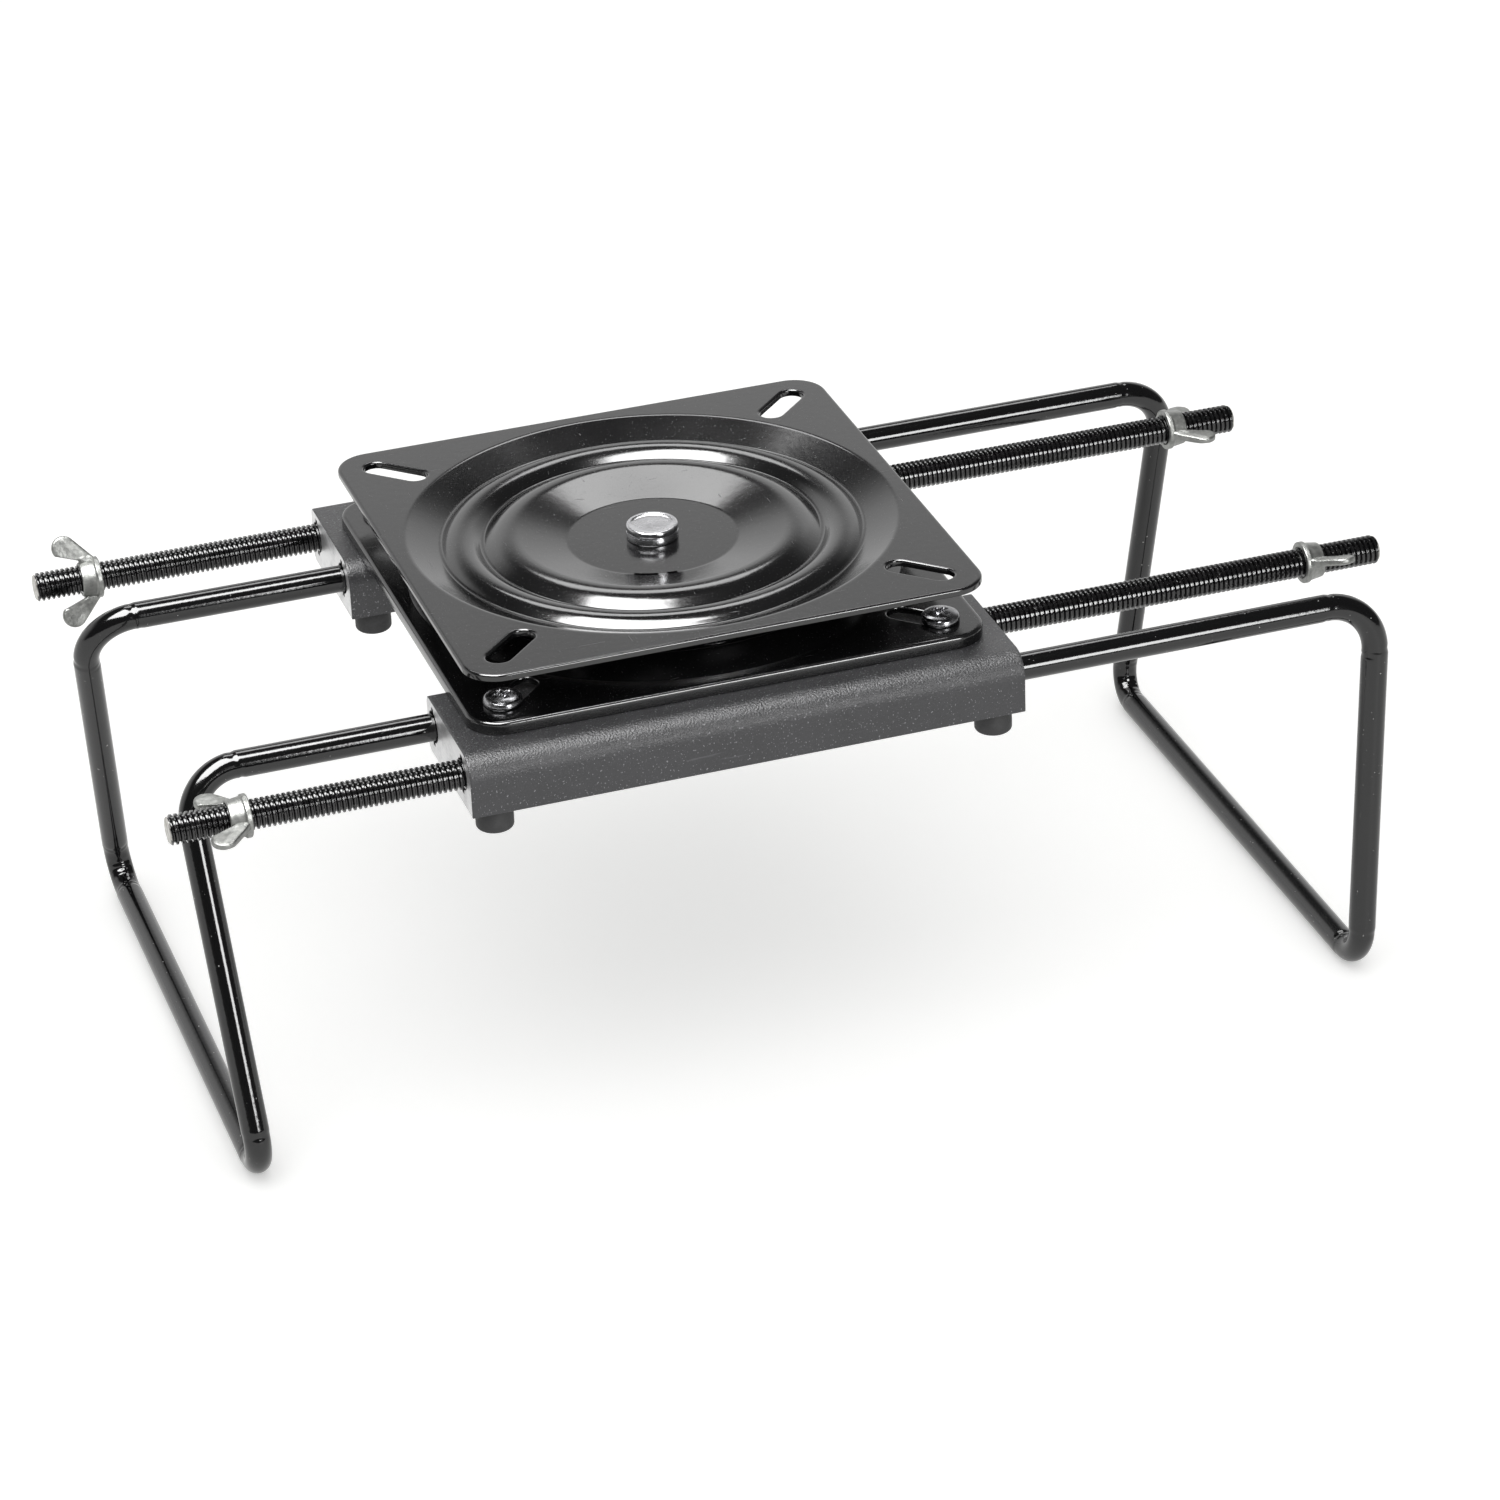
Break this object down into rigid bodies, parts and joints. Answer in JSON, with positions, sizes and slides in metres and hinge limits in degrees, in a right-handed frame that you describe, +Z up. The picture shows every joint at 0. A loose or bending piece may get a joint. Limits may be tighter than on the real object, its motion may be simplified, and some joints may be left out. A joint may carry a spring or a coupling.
{
  "type": "swivel seat base",
  "caption": "Square ball-race seat swivel on two extruded rails, with sliding bent-bar frames and wing nuts that clamp it over a bench edge.",
  "frame": {"origin": "middle of the part's overall box, on the floor under the right frame's foot bar", "axes": "+X along the rails towards the right frame's legs, +Y away from the near rail, +Z up towards the seat"},
  "size_m": [0.437, 0.2242, 0.1671],
  "materials": {
    "gloss_enamel": "gloss black enamel on pressed steel, fine scratches",
    "rail_coat": "fine textured dark grey coat, bare saw-cut ends",
    "black_bar": "gloss black coated steel bar, black rolled thread",
    "zinc": "satin cast zinc plating",
    "bright_steel": "bright turned steel",
    "plain_steel": "plain pressed steel",
    "rubber": "matt dark moulded rubber"
  },
  "bodies": {
    "base": {"near_rail": "rail_coat", "far_rail": "rail_coat", "lower_plate": "gloss_enamel", "pivot_pin": "bright_steel", "pivot_washer": "plain_steel", "tail_washer": "plain_steel", "plate_screws": "bright_steel", "bumper_near_left": "rubber", "bumper_near_right": "rubber", "bumper_far_left": "rubber", "bumper_far_right": "rubber"},
    "seat_plate": {"upper_plate": "gloss_enamel"},
    "ball_race": {"race_balls": "bright_steel", "ball_cage": "plain_steel"},
    "left_frame": {"left_frame": "black_bar"},
    "right_frame": {"right_frame": "black_bar"},
    "nut_left_near": {"nut_left_near": "zinc"},
    "nut_left_far": {"nut_left_far": "zinc"},
    "nut_right_near": {"nut_right_near": "zinc"},
    "nut_right_far": {"nut_right_far": "zinc"}
  },
  "joints": [
    {"name": "seat_swivel", "type": "hinge", "parent": "base", "child": "seat_plate", "pos_m": [-0.0225, 0, 0.16705], "axis": [0, 0, 1], "continuous": true},
    {"name": "race_turn", "type": "hinge", "parent": "base", "child": "ball_race", "pos_m": [-0.0225, 0, 0.1571], "axis": [0, 0, 1], "continuous": true},
    {"name": "left_frame_slide", "type": "slide", "parent": "base", "child": "left_frame", "axis": [1, 0, 0], "range_m": [-0.115, 0.066]},
    {"name": "right_frame_slide", "type": "slide", "parent": "base", "child": "right_frame", "axis": [1, 0, 0], "range_m": [-0.111, 0.069]},
    {"name": "nut_left_near_turn", "type": "hinge", "parent": "right_frame", "child": "nut_left_near", "pos_m": [-0.18802, -0.0925, 0.13615], "axis": [1, 0, 0], "continuous": true},
    {"name": "nut_left_far_turn", "type": "hinge", "parent": "right_frame", "child": "nut_left_far", "pos_m": [-0.19547, 0.0925, 0.13615], "axis": [1, 0, 0], "continuous": true},
    {"name": "nut_right_near_turn", "type": "hinge", "parent": "left_frame", "child": "nut_right_near", "pos_m": [0.19047, -0.0582, 0.13615], "axis": [1, 0, 0], "continuous": true},
    {"name": "nut_right_far_turn", "type": "hinge", "parent": "left_frame", "child": "nut_right_far", "pos_m": [0.18851, 0.0582, 0.13615], "axis": [1, 0, 0], "continuous": true}
  ],
  "couplings": [
    {"joint": "race_turn", "follows": "seat_swivel", "ratio": 0.5}
  ]
}
